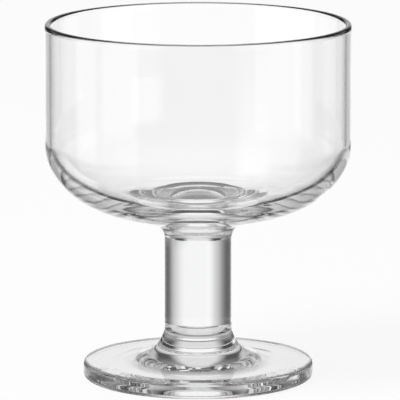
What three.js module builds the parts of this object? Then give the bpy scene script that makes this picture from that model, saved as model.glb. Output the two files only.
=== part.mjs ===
// Footed dessert glass: a wide cylindrical bowl on a solid round stem and a thick disc foot.
// Millimetres, +Z up, origin on the surface it stands on, on the axis of the glass.
import * as THREE from 'three';

// Driving dimensions of the bowl
const bowlRadius = 49;
const wall = 2;
const wallHeight = 39;
const outerCurveReach = 33;
const outerCurveHeight = 23.5;
const undersideSlope = THREE.MathUtils.degToRad(15);
const bowlFlareRadius = 6.4;
const baseThickness = 7;
const floorRadius = 20.6;
const innerCurveLead = 1.05;

// Driving dimensions of the stem
const stemRadius = 10.8;
const stemLength = 30.5;
const seamAngle = THREE.MathUtils.degToRad(14);

// Driving dimensions of the foot
const footRadius = 37;
const footEdgeHeight = 5.4;
const footTopSlope = THREE.MathUtils.degToRad(2);
const footFlareRadius = 12.5;
const footTopEdgeRadius = 1.2;
const footBottomEdgeRadius = 1.4;
const standingRingWidth = 8;
const dishDepth = 0.9;

// Fineness of the turned faces
const turnSegments = 64;
const longArcSteps = 12;
const shortArcSteps = 6;

const rightAngle = Math.PI / 2;

// Points of an ellipse arc in the turning plane, x as the radius and y as the height.
function arc(centreRadius, centreHeight, reach, height, from, to, steps) {
  const clockwise = to < from;
  return new THREE.EllipseCurve(centreRadius, centreHeight, reach, height, from, to, clockwise).getPoints(steps);
}

// Points of a circle arc in the turning plane.
function roundArc(centreRadius, centreHeight, radius, from, to, steps) {
  return arc(centreRadius, centreHeight, radius, radius, from, to, steps);
}

function point(radius, height) {
  return new THREE.Vector2(radius, height);
}

// A solid turned from a profile that starts and ends on the axis.
function turned(name, profile) {
  const geometry = new THREE.LatheGeometry(profile, turnSegments);
  geometry.rotateX(rightAngle);
  const material = new THREE.MeshStandardMaterial({
    color: 0xf1f4f3,
    roughness: 0.04,
    metalness: 0,
    transparent: true,
    opacity: 0.35,
  });
  const mesh = new THREE.Mesh(geometry, material);
  mesh.name = name;
  return mesh;
}

// The foot's top face runs in from the rounded edge, rising a little, to the flare that meets the stem.
const footEdgeTopRadius = footRadius - footTopEdgeRadius * (1 - Math.sin(footTopSlope));
const footFlareEndRadius = stemRadius + footFlareRadius * (Math.cos(seamAngle) - Math.sin(footTopSlope));
const footFlareEndHeight = footEdgeHeight + (footEdgeTopRadius - footFlareEndRadius) * Math.tan(footTopSlope);
const lowerSeam = footFlareEndHeight + footFlareRadius * (Math.cos(footTopSlope) - Math.sin(seamAngle));
const upperSeam = lowerSeam + stemLength;

function footProfile() {
  const standingRingOuter = footRadius - footBottomEdgeRadius;
  const dishRadius = standingRingOuter - standingRingWidth;
  const dishCurve = (dishRadius ** 2 + dishDepth ** 2) / (2 * dishDepth);
  const dishAngle = Math.asin(dishRadius / dishCurve);
  const topEdgeCentre = footEdgeHeight - footTopEdgeRadius * Math.cos(footTopSlope);
  const flareCentreRadius = stemRadius + footFlareRadius * Math.cos(seamAngle);
  const flareCentreHeight = lowerSeam + footFlareRadius * Math.sin(seamAngle);
  const dish = roundArc(0, dishDepth - dishCurve, dishCurve, rightAngle, rightAngle - dishAngle, shortArcSteps);
  dish[0].set(0, dishDepth);
  dish[shortArcSteps].set(dishRadius, 0);
  return [
    ...dish,
    ...roundArc(
      standingRingOuter, footBottomEdgeRadius, footBottomEdgeRadius, -rightAngle, 0, shortArcSteps),
    ...roundArc(
      footRadius - footTopEdgeRadius, topEdgeCentre, footTopEdgeRadius,
      0, rightAngle - footTopSlope, shortArcSteps),
    ...roundArc(
      flareCentreRadius, flareCentreHeight, footFlareRadius,
      Math.PI + rightAngle - footTopSlope, Math.PI + seamAngle, longArcSteps).slice(0, -1),
    point(stemRadius, lowerSeam),
    point(0, lowerSeam),
  ];
}

function stemProfile() {
  return [
    point(0, lowerSeam),
    point(stemRadius, lowerSeam),
    point(stemRadius, upperSeam),
    point(0, upperSeam),
  ];
}

// Outside, the bowl flares from the stem into a cone, and an ellipse carries the cone up into the straight wall.
// Inside, another ellipse joins the flat floor to the wall, and the lip is fully round.
function bowlProfile() {
  const flareCentreRadius = stemRadius + bowlFlareRadius * Math.cos(seamAngle);
  const flareCentreHeight = upperSeam - bowlFlareRadius * Math.sin(seamAngle);
  const flareEndRadius = flareCentreRadius - bowlFlareRadius * Math.sin(undersideSlope);
  const flareEndHeight = flareCentreHeight + bowlFlareRadius * Math.cos(undersideSlope);

  const outerCurveRadius = bowlRadius - outerCurveReach;
  const tangentAngle = Math.atan(outerCurveHeight / (outerCurveReach * Math.tan(undersideSlope)));
  const coneEndRadius = outerCurveRadius + outerCurveReach * Math.cos(tangentAngle);
  const coneEndHeight = flareEndHeight + (coneEndRadius - flareEndRadius) * Math.tan(undersideSlope);
  const outerCurveTop = coneEndHeight + outerCurveHeight * Math.sin(tangentAngle);

  const rim = outerCurveTop + wallHeight;
  const lipRadius = wall / 2;
  const innerRadius = bowlRadius - wall;
  const floor = flareEndHeight + baseThickness;
  const innerCurveTop = outerCurveTop + innerCurveLead;

  return [
    point(0, upperSeam),
    point(stemRadius, upperSeam),
    ...roundArc(
      flareCentreRadius, flareCentreHeight, bowlFlareRadius,
      Math.PI - seamAngle, rightAngle + undersideSlope, shortArcSteps).slice(1),
    ...arc(
      outerCurveRadius, outerCurveTop, outerCurveReach, outerCurveHeight, -tangentAngle, 0, longArcSteps),
    ...roundArc(bowlRadius - lipRadius, rim - lipRadius, lipRadius, 0, Math.PI, shortArcSteps),
    ...arc(
      floorRadius, innerCurveTop, innerRadius - floorRadius, innerCurveTop - floor,
      0, -rightAngle, longArcSteps),
    point(0, floor),
  ];
}

const glass = new THREE.Group();
glass.add(turned('foot', footProfile()));
glass.add(turned('stem', stemProfile()));
glass.add(turned('bowl', bowlProfile()));

export default glass;
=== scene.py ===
from collections import namedtuple
import math

import bmesh
import bpy
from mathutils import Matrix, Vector, noise


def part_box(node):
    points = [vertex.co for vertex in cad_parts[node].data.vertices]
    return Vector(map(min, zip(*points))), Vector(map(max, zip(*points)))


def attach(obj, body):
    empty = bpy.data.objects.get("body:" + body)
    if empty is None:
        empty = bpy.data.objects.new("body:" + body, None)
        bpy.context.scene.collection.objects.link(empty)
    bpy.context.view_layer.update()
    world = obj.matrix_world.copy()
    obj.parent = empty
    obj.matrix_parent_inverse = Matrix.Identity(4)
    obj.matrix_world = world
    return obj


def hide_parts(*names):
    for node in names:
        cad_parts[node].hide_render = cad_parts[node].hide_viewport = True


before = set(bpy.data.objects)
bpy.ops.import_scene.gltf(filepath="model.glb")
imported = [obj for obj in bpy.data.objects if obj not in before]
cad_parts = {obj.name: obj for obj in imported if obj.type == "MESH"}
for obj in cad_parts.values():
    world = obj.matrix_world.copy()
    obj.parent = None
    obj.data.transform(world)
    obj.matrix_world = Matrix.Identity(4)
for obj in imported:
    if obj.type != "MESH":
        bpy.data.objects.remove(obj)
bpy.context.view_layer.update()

MM = 0.001

# Sizes that the solids give
FOOT_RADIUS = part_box("foot")[1].x
STEM_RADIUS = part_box("stem")[1].x
LOWER_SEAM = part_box("stem")[0].z
UPPER_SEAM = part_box("stem")[1].z
BOWL_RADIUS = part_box("bowl")[1].x
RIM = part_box("bowl")[1].z

# Bowl
WALL = 2.0 * MM
OUTER_CURVE_REACH = 33.0 * MM
OUTER_CURVE_HEIGHT = 23.5 * MM
UNDERSIDE_SLOPE = math.radians(15)
BOWL_FLARE_RADIUS = 6.4 * MM
BASE_THICKNESS = 7.0 * MM
BOWL_FLOOR_RADIUS = 20.6 * MM
INNER_CURVE_LEAD = 1.05 * MM

# Both flares, where they leave the stem
SEAM_ANGLE = math.radians(14)

# Foot
FOOT_EDGE_HEIGHT = 5.4 * MM
FOOT_TOP_SLOPE = math.radians(2)
FOOT_FLARE_RADIUS = 12.5 * MM
FOOT_TOP_EDGE_RADIUS = 1.2 * MM
FOOT_BOTTOM_EDGE_RADIUS = 1.4 * MM
STANDING_RING_WIDTH = 8.0 * MM
DISH_DEPTH = 0.9 * MM

# Fineness of the turned surfaces
TURN_STEPS = 224
ARC_STEP = 0.5 * MM
STRAIGHT_STEP = 1.0 * MM
LEAST_ARC_STEPS = 6
LEAST_STRAIGHT_STEPS = 2
SAME_POINT = 1e-7
RIGHT_ANGLE = math.pi / 2

# Soft waves of the glass: their size, their depth, and the stretch beside a seam in which they grow to it
Wave = namedtuple("Wave", "size depth growth")
BOWL_WAVE = Wave(14 * MM, 0.02 * MM, 4 * MM)
STEM_WAVE = Wave(9 * MM, 0.02 * MM, 3 * MM)
FOOT_WAVE = Wave(8 * MM, 0.06 * MM, 4 * MM)
FOOT_CALM_HEIGHT = 2 * MM

# Glass, and the faint unevenness of its skin
GLASS_IOR = 1.52
THIN_GLASS_TINT = (0.99, 0.992, 0.991, 1.0)
THICK_GLASS_TINT = (0.93, 0.935, 0.933, 1.0)
SKIN_SCALE = 90.0
SKIN_DETAIL = 2.0
SKIN_STRENGTH = 0.05
SKIN_DEPTH = 0.2 * MM

# Material slots of each piece
GLASS_SLOT = 0
SEAM_SLOT = 1

# Camera, found from the outline of the photographed glass
CAMERA_DISTANCE = 1.4875
CAMERA_HEIGHT = 0.3279
CAMERA_AIM_HEIGHT = 0.05735
CAMERA_ASIDE = 0.0006
CAMERA_REACH = 20.0
SENSOR = 36.0
FOCAL_PIXELS = 4716.3
FRAME_PIXELS = 400

# Key lamp
LAMP_PLACE = Vector((-0.9, -0.6, 1.3))
LAMP_AIM = Vector((0, 0, 0.05))
LAMP_SIZE = 0.8
LAMP_POWER = 20.0

# How often light may pass through the glass or be mirrored in it
LIGHT_BOUNCES = 40

# Floor, and the share of plain white in it for the camera
STUDIO_FLOOR_RADIUS = 3.0
STUDIO_FLOOR_COLOUR = (0.9, 0.9, 0.9, 1.0)
STUDIO_FLOOR_WHITE_SHARE = 0.9
WHITE = (1.0, 1.0, 1.0, 1.0)
DISC_SIDES = 96

# Painted shade under the foot, glowing lighter towards its edge: a distance from the axis and the painted
# level there
PAINTED_SHADE_LEVELS = [(0.0, 0.0), (13 * MM, 0.0), (24 * MM, 0.95), (35.6 * MM, 0.95)]
PAINTED_SHADE_DEPTH = 0.05 * MM

# The backdrop behind the floor, as pale to the camera as the floor's far edge
BACKDROP_WHITE = 0.94

# The room round the glass, which lights it and shows in it. The camera itself sees the backdrop instead.
# Angles are in degrees: a turn runs from straight behind the glass towards its right side,
# a height from the horizon.
STRAIGHT_UP = 90
HALF_TURN = 180

# Heights in the room and the level at each
ROOM_LEVELS = [
    (-90, 1.0),
    (-66, 0.95),
    (-56, 0.15),
    (-45, 0.04),
    (18, 0.08),
    (35, 0.25),
    (50, 0.42),
    (66, 0.66),
    (90, 0.78),
]

# Soft panels in the room, each laid over those before it: the turn of its middle, half its width,
# the fade beside that, its lower and upper edge, the blur there and its level.
# The brightest are a little over white, for what the glass takes away.
Panel = namedtuple("Panel", "turn half_width fade bottom top blur level")
PANELS = {
    "left_dim_flank": Panel(-45, 25, 10, -24, -6, 6, 0.15),
    "right_dim_flank": Panel(45, 25, 10, -24, -6, 6, 0.15),
    "white_sweep": Panel(0, 9, 12, -37, 4, 1.5, 1.06),
    "upper_sweep": Panel(0, 10, 12, 4, 66, 2, 0.8),
    "wall_glow": Panel(0, 14, 6, -10.4, -6, 0.4, 1.06),
    "left_near_flank": Panel(-22, 6, 4, -10.4, -6, 0.4, 0.55),
    "right_near_flank": Panel(22, 6, 4, -10.4, -6, 0.4, 0.55),
    "left_far_flank": Panel(-52, 16, 4, -10.4, -6, 0.4, 0.55),
    "right_far_flank": Panel(52, 16, 4, -10.4, -6, 0.4, 0.55),
    "stem_glow": Panel(4, 8, 46, -14, -10.4, 0.4, 1.06),
    "left_horizon": Panel(-62, 24, 8, 5, 16, 4, 0.7),
    "right_horizon": Panel(62, 24, 8, 5, 16, 4, 0.7),
    "left_back_panel": Panel(-45, 7, 8, -46, -20, 2, 1.06),
    "left_side_panel": Panel(-90, 9, 12, -24, 6, 2, 1.06),
    "right_front_panel": Panel(135, 9, 12, -40, -9, 2, 1.06),
    "left_soft_box": Panel(-115, 18, 2, -26, 22, 2, 0.6),
    "right_soft_box": Panel(111, 13, 2, -26, 22, 2, 0.55),
}


class Wire:
    """A shader socket that can stand in a sum: each operator adds its Math node."""

    def __init__(self, graph, socket):
        self.graph = graph
        self.socket = socket

    def math(self, operation, *values):
        inputs = dict(enumerate(values))
        return self.graph.node("ShaderNodeMath", {"operation": operation}, inputs)

    def __add__(self, other):
        return self.math("ADD", self, other)

    def __radd__(self, other):
        return self.math("ADD", other, self)

    def __sub__(self, other):
        return self.math("SUBTRACT", self, other)

    def __rsub__(self, other):
        return self.math("SUBTRACT", other, self)

    def __mul__(self, other):
        return self.math("MULTIPLY", self, other)

    def __rmul__(self, other):
        return self.math("MULTIPLY", other, self)

    def __truediv__(self, other):
        return self.math("DIVIDE", self, other)


class Graph:
    """The nodes of one material or of the world."""

    def __init__(self, owner):
        owner.use_nodes = True
        self.tree = owner.node_tree
        self.tree.nodes.clear()

    def node(self, kind, settings=None, inputs=None, output=0):
        """Adds a node, sets it, fills its sockets with values or wires, and gives one of its outputs."""
        made = self.tree.nodes.new(kind)
        for name, value in (settings or {}).items():
            if name == "stops":
                self.set_stops(made.color_ramp, value)
            else:
                setattr(made, name, value)
        for name, value in (inputs or {}).items():
            if isinstance(value, Wire):
                self.tree.links.new(value.socket, made.inputs[name])
            else:
                made.inputs[name].default_value = value
        return Wire(self, made.outputs[output]) if len(made.outputs) else None

    @staticmethod
    def set_stops(ramp, stops):
        """Gives a colour ramp its stops, each a place and a grey level."""
        while len(ramp.elements) < len(stops):
            ramp.elements.new(1.0)
        for element, (place, grey) in zip(ramp.elements, stops):
            element.position = place
            element.color = (grey, grey, grey, 1.0)


def linked(name, data):
    """Puts a mesh, lamp or camera into the scene."""
    made = bpy.data.objects.new(name, data)
    bpy.context.scene.collection.objects.link(made)
    return made


def shaped(name, bm, materials):
    """Turns a finished bmesh into an object with those materials."""
    mesh = bpy.data.meshes.new(name)
    bm.to_mesh(mesh)
    bm.free()
    for material in materials:
        mesh.materials.append(material)
    return linked(name, mesh)


def arc(centre, reach, height, start, stop):
    """Points of an ellipse arc in the turning plane, both ends included."""
    length = max(reach, height) * abs(stop - start)
    steps = max(LEAST_ARC_STEPS, math.ceil(length / ARC_STEP))
    angles = [start + (stop - start) * step / steps for step in range(steps + 1)]
    return [(centre[0] + reach * math.cos(a), centre[1] + height * math.sin(a)) for a in angles]


def round_arc(centre, radius, start, stop):
    """Points of a circle arc in the turning plane, both ends included."""
    return arc(centre, radius, radius, start, stop)


def straight(start, stop):
    """Points of a straight stretch, both ends left out."""
    steps = max(LEAST_STRAIGHT_STEPS, math.ceil(math.dist(start, stop) / STRAIGHT_STEP))
    shares = [step / steps for step in range(1, steps)]
    return [tuple(a + (b - a) * share for a, b in zip(start, stop)) for share in shares]


def chain(*stretches):
    """Joins stretches of a profile, with straight ones between them."""
    profile = list(stretches[0])
    for stretch in stretches[1:]:
        if math.dist(profile[-1], stretch[0]) > SAME_POINT:
            profile += straight(profile[-1], stretch[0])
            profile += stretch
        else:
            profile += stretch[1:]
    return profile


def bowl_profile():
    """From the seam up the outside, over the lip and down to the middle of the floor inside."""
    flare_centre = (
        STEM_RADIUS + BOWL_FLARE_RADIUS * math.cos(SEAM_ANGLE),
        UPPER_SEAM - BOWL_FLARE_RADIUS * math.sin(SEAM_ANGLE),
    )
    flare = round_arc(flare_centre, BOWL_FLARE_RADIUS, math.pi - SEAM_ANGLE, RIGHT_ANGLE + UNDERSIDE_SLOPE)
    flare_end = flare[-1]
    curve_radius = BOWL_RADIUS - OUTER_CURVE_REACH
    tangent = math.atan(OUTER_CURVE_HEIGHT / (OUTER_CURVE_REACH * math.tan(UNDERSIDE_SLOPE)))
    cone_end = curve_radius + OUTER_CURVE_REACH * math.cos(tangent)
    cone_end_height = flare_end[1] + (cone_end - flare_end[0]) * math.tan(UNDERSIDE_SLOPE)
    curve_top = cone_end_height + OUTER_CURVE_HEIGHT * math.sin(tangent)
    outside = arc((curve_radius, curve_top), OUTER_CURVE_REACH, OUTER_CURVE_HEIGHT, -tangent, 0)
    lip_radius = WALL / 2
    lip = round_arc((BOWL_RADIUS - lip_radius, RIM - lip_radius), lip_radius, 0, math.pi)
    inner_reach = BOWL_RADIUS - WALL - BOWL_FLOOR_RADIUS
    floor = flare_end[1] + BASE_THICKNESS
    inner_top = curve_top + INNER_CURVE_LEAD
    inside = arc((BOWL_FLOOR_RADIUS, inner_top), inner_reach, inner_top - floor, 0, -RIGHT_ANGLE)
    return chain([(0, UPPER_SEAM)], flare, outside, lip, inside, [(0, floor)])


def stem_profile():
    """From the middle of the lower seam round to the middle of the upper one."""
    return chain(
        [(0, LOWER_SEAM)],
        [(STEM_RADIUS, LOWER_SEAM)],
        [(STEM_RADIUS, UPPER_SEAM)],
        [(0, UPPER_SEAM)],
    )


def foot_profile():
    """From the middle of the dish below, round the edge and up the flare to the seam."""
    ring_outer = FOOT_RADIUS - FOOT_BOTTOM_EDGE_RADIUS
    dish_radius = ring_outer - STANDING_RING_WIDTH
    dish_curve = (dish_radius ** 2 + DISH_DEPTH ** 2) / (2 * DISH_DEPTH)
    dish_angle = math.asin(dish_radius / dish_curve)
    dish = round_arc((0, DISH_DEPTH - dish_curve), dish_curve, RIGHT_ANGLE, RIGHT_ANGLE - dish_angle)
    dish[0] = (0, DISH_DEPTH)
    dish[-1] = (dish_radius, 0)
    bottom_centre = (ring_outer, FOOT_BOTTOM_EDGE_RADIUS)
    bottom_edge = round_arc(bottom_centre, FOOT_BOTTOM_EDGE_RADIUS, -RIGHT_ANGLE, 0)
    top_centre = (
        FOOT_RADIUS - FOOT_TOP_EDGE_RADIUS,
        FOOT_EDGE_HEIGHT - FOOT_TOP_EDGE_RADIUS * math.cos(FOOT_TOP_SLOPE),
    )
    top_edge = round_arc(top_centre, FOOT_TOP_EDGE_RADIUS, 0, RIGHT_ANGLE - FOOT_TOP_SLOPE)
    flare_centre = (
        STEM_RADIUS + FOOT_FLARE_RADIUS * math.cos(SEAM_ANGLE),
        LOWER_SEAM + FOOT_FLARE_RADIUS * math.sin(SEAM_ANGLE),
    )
    flare_start = math.pi + RIGHT_ANGLE - FOOT_TOP_SLOPE
    flare = round_arc(flare_centre, FOOT_FLARE_RADIUS, flare_start, math.pi + SEAM_ANGLE)
    return chain(dish, bottom_edge, top_edge, flare, [(0, LOWER_SEAM)])


def ripple(place, wave, seams):
    """How far the glass waves outwards at a place: never above 0, none at a seam, the same each run."""
    grown = min([1.0] + [abs(place.z - seam) / wave.growth for seam in seams])
    return wave.depth * (noise.noise(place / wave.size) - 1) / 2 * grown


def bowl_wave(place):
    return ripple(place, BOWL_WAVE, [UPPER_SEAM])


def stem_wave(place):
    return ripple(place, STEM_WAVE, [LOWER_SEAM, UPPER_SEAM])


def foot_wave(place):
    """The foot's waves, none where it stands on the table."""
    off_table = min(1.0, place.z / FOOT_CALM_HEIGHT)
    return ripple(place, FOOT_WAVE, [LOWER_SEAM]) * off_table


def turned(name, profile, seams, wave, materials):
    """Spins a profile into a closed piece of glass, waves its skin and marks its faces at the seams."""
    bm = bmesh.new()
    points = [bm.verts.new((radius, 0, height)) for radius, height in profile]
    lines = [bm.edges.new(pair) for pair in zip(points, points[1:])]
    bmesh.ops.spin(bm, geom=points + lines, cent=(0, 0, 0), axis=(0, 0, 1), angle=2 * math.pi,
                   steps=TURN_STEPS, use_merge=True)
    bmesh.ops.remove_doubles(bm, verts=bm.verts[:], dist=SAME_POINT)
    bmesh.ops.recalc_face_normals(bm, faces=bm.faces[:])
    bm.normal_update()
    for face in bm.faces:
        face.smooth = True
        face.material_index = GLASS_SLOT
        heights = [vert.co.z for vert in face.verts]
        for seam in seams:
            if max(abs(height - seam) for height in heights) < SAME_POINT:
                face.material_index = SEAM_SLOT
    for edge in bm.edges:
        slots = {face.material_index for face in edge.link_faces}
        edge.smooth = len(slots) == 1
    moves = [(vert, vert.normal * wave(vert.co)) for vert in bm.verts]
    for vert, move in moves:
        vert.co += move
    return shaped(name, bm, materials)


def clear_glass(name, tint):
    """Clear glass of a tint, with a faintly uneven skin."""
    material = bpy.data.materials.new(name)
    graph = Graph(material)
    place = graph.node("ShaderNodeTexCoord", output="Object")
    unevenness = graph.node("ShaderNodeTexNoise", inputs={
        "Vector": place,
        "Scale": SKIN_SCALE,
        "Detail": SKIN_DETAIL,
    }, output="Fac")
    skin = graph.node("ShaderNodeBump", inputs={
        "Height": unevenness,
        "Strength": SKIN_STRENGTH,
        "Distance": SKIN_DEPTH,
    })
    surface = graph.node("ShaderNodeBsdfPrincipled", inputs={
        "Base Color": tint,
        "Roughness": 0.0,
        "IOR": GLASS_IOR,
        "Transmission Weight": 1.0,
        "Normal": skin,
    })
    graph.node("ShaderNodeOutputMaterial", inputs={"Surface": surface})
    return material


def fused_seam():
    """The faces where two pieces are fused: nothing is seen there."""
    material = bpy.data.materials.new("fused_seam")
    graph = Graph(material)
    surface = graph.node("ShaderNodeBsdfPrincipled", inputs={"Alpha": 0.0})
    graph.node("ShaderNodeOutputMaterial", inputs={"Surface": surface})
    return material


def glass_pieces():
    """The three pieces of the glass, each in place of its solid. Their materials follow the slots above."""
    thin = clear_glass("thin_clear_glass", THIN_GLASS_TINT)
    thick = clear_glass("thick_clear_glass", THICK_GLASS_TINT)
    seam = fused_seam()
    both_seams = [LOWER_SEAM, UPPER_SEAM]
    pieces = {
        "bowl": turned("glass_bowl", bowl_profile(), [UPPER_SEAM], bowl_wave, [thin, seam]),
        "stem": turned("glass_stem", stem_profile(), both_seams, stem_wave, [thick, seam]),
        "foot": turned("glass_foot", foot_profile(), [LOWER_SEAM], foot_wave, [thick, seam]),
    }
    for node, piece in pieces.items():
        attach(piece, "root")
        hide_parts(node)


def studio_world():
    """The dim room with its panels for the glass, and the plain pale backdrop for the camera."""
    world = bpy.data.worlds.new("studio")
    bpy.context.scene.world = world
    graph = Graph(world)
    direction = graph.node("ShaderNodeTexCoord", output="Generated")
    x, y, z = [graph.node("ShaderNodeSeparateXYZ", inputs={0: direction}, output=axis) for axis in "XYZ"]
    height = z.math("ARCSINE", z) * math.degrees(1)
    turn = x.math("ARCTAN2", x, y) * math.degrees(1)

    def rise(value, start, stop):
        """0 up to start, 1 from stop on, smooth between them."""
        return graph.node("ShaderNodeMapRange", {"interpolation_type": "SMOOTHSTEP"}, {
            "Value": value,
            "From Min": start,
            "From Max": stop,
        })

    def away_from(side):
        """The angle between a direction and that turn, on either side."""
        return turn.math("ABSOLUTE", turn.math("WRAP", turn - side, HALF_TURN, -HALF_TURN))

    def levels(stops):
        """The level at each height, straight between the stops."""
        places = [((degrees + STRAIGHT_UP) / HALF_TURN, grey) for degrees, grey in stops]
        share = (height + STRAIGHT_UP) / HALF_TURN
        return graph.node("ShaderNodeValToRGB", {"stops": places}, {"Fac": share})

    def mix(share, first, second):
        """A blend of two numbers. The Mix node takes its share at socket 0 and the numbers at 2 and 3."""
        return graph.node("ShaderNodeMix", {"data_type": "FLOAT"}, {0: share, 2: first, 3: second})

    def on_panel(panel):
        """1 on a soft-edged panel that faces the glass, 0 away from it."""
        across = 1 - rise(away_from(panel.turn), panel.half_width, panel.half_width + panel.fade)
        above_bottom = rise(height, panel.bottom - panel.blur, panel.bottom + panel.blur)
        below_top = 1 - rise(height, panel.top - panel.blur, panel.top + panel.blur)
        return across * (above_bottom * below_top)

    light = levels(ROOM_LEVELS)
    for panel in PANELS.values():
        light = mix(on_panel(panel), light, panel.level)
    seen = graph.node("ShaderNodeLightPath", output="Is Camera Ray")
    shown = mix(seen, light, BACKDROP_WHITE)
    background = graph.node("ShaderNodeBackground", inputs={"Color": shown, "Strength": 1.0})
    graph.node("ShaderNodeOutputWorld", inputs={"Surface": background})


def floor_disc(name, radius, depth, material):
    """A flat disc round the axis of the glass, that deep below its standing ring."""
    bm = bmesh.new()
    bmesh.ops.create_circle(bm, cap_ends=True, segments=DISC_SIDES, radius=radius)
    bmesh.ops.translate(bm, verts=bm.verts[:], vec=(0, 0, -depth))
    return shaped(name, bm, [material])


def pale_floor():
    """The floor that the camera sees, which takes the shadow of the glass."""
    material = bpy.data.materials.new("pale_floor")
    graph = Graph(material)
    seen = graph.node("ShaderNodeLightPath", output="Is Camera Ray")
    shaded = graph.node("ShaderNodeBsdfDiffuse", inputs={"Color": STUDIO_FLOOR_COLOUR})
    white = graph.node("ShaderNodeEmission", inputs={"Color": WHITE, "Strength": 1.0})
    share = seen * STUDIO_FLOOR_WHITE_SHARE
    both = graph.node("ShaderNodeMixShader", inputs={0: share, 1: shaded, 2: white})
    graph.node("ShaderNodeOutputMaterial", inputs={"Surface": both})
    floor = floor_disc("floor", STUDIO_FLOOR_RADIUS, 0.0, material)
    floor.visible_transmission = False
    floor.visible_glossy = False


def painted_shade_floor():
    """The floor under the foot, as it shows through the glass alone: a glowing disc with painted shade
    below the stem and painted light towards the foot's edge.
    """
    reach = PAINTED_SHADE_LEVELS[-1][0]
    material = bpy.data.materials.new("painted_shade_floor")
    graph = Graph(material)
    place = graph.node("ShaderNodeTexCoord", output="Object")
    from_axis = graph.node("ShaderNodeVectorMath", {"operation": "LENGTH"}, {0: place}, output="Value")
    stops = [(distance / reach, level) for distance, level in PAINTED_SHADE_LEVELS]
    shade = graph.node("ShaderNodeValToRGB", {"stops": stops}, {"Fac": from_axis / reach})
    # The disc gives off its painted shade and light itself, as emission, though it is no lamp
    surface = graph.node("ShaderNodeEmission", inputs={"Color": shade, "Strength": 1.0})
    graph.node("ShaderNodeOutputMaterial", inputs={"Surface": surface})
    spot = floor_disc("painted_shade_floor", reach, PAINTED_SHADE_DEPTH, material)


def key_lamp():
    """A soft lamp that throws the shadow, and that the glass doesn't mirror."""
    data = bpy.data.lights.new("key_lamp", "AREA")
    data.shape = "DISK"
    data.size = LAMP_SIZE
    data.energy = LAMP_POWER
    lamp = linked("key_lamp", data)
    lamp.location = LAMP_PLACE
    lamp.rotation_euler = (LAMP_AIM - LAMP_PLACE).to_track_quat("-Z", "Y").to_euler()
    lamp.visible_glossy = False
    lamp.visible_transmission = False


def camera():
    """A camera at the photograph's viewing angle."""
    data = bpy.data.cameras.new("camera")
    data.sensor_width = SENSOR
    data.lens = FOCAL_PIXELS / FRAME_PIXELS * SENSOR
    data.clip_end = CAMERA_REACH
    eye = linked("camera", data)
    eye.location = (CAMERA_ASIDE, -CAMERA_DISTANCE, CAMERA_HEIGHT)
    tilt = math.atan2(CAMERA_HEIGHT - CAMERA_AIM_HEIGHT, CAMERA_DISTANCE)
    eye.rotation_euler = (RIGHT_ANGLE - tilt, 0, 0)
    bpy.context.scene.camera = eye


def studio():
    scene = bpy.context.scene
    scene.view_settings.view_transform = "Standard"
    scene.cycles.max_bounces = LIGHT_BOUNCES
    scene.cycles.transmission_bounces = LIGHT_BOUNCES
    scene.cycles.glossy_bounces = LIGHT_BOUNCES
    scene.cycles.transparent_max_bounces = LIGHT_BOUNCES
    studio_world()
    pale_floor()
    painted_shade_floor()
    key_lamp()
    camera()


glass_pieces()
studio()
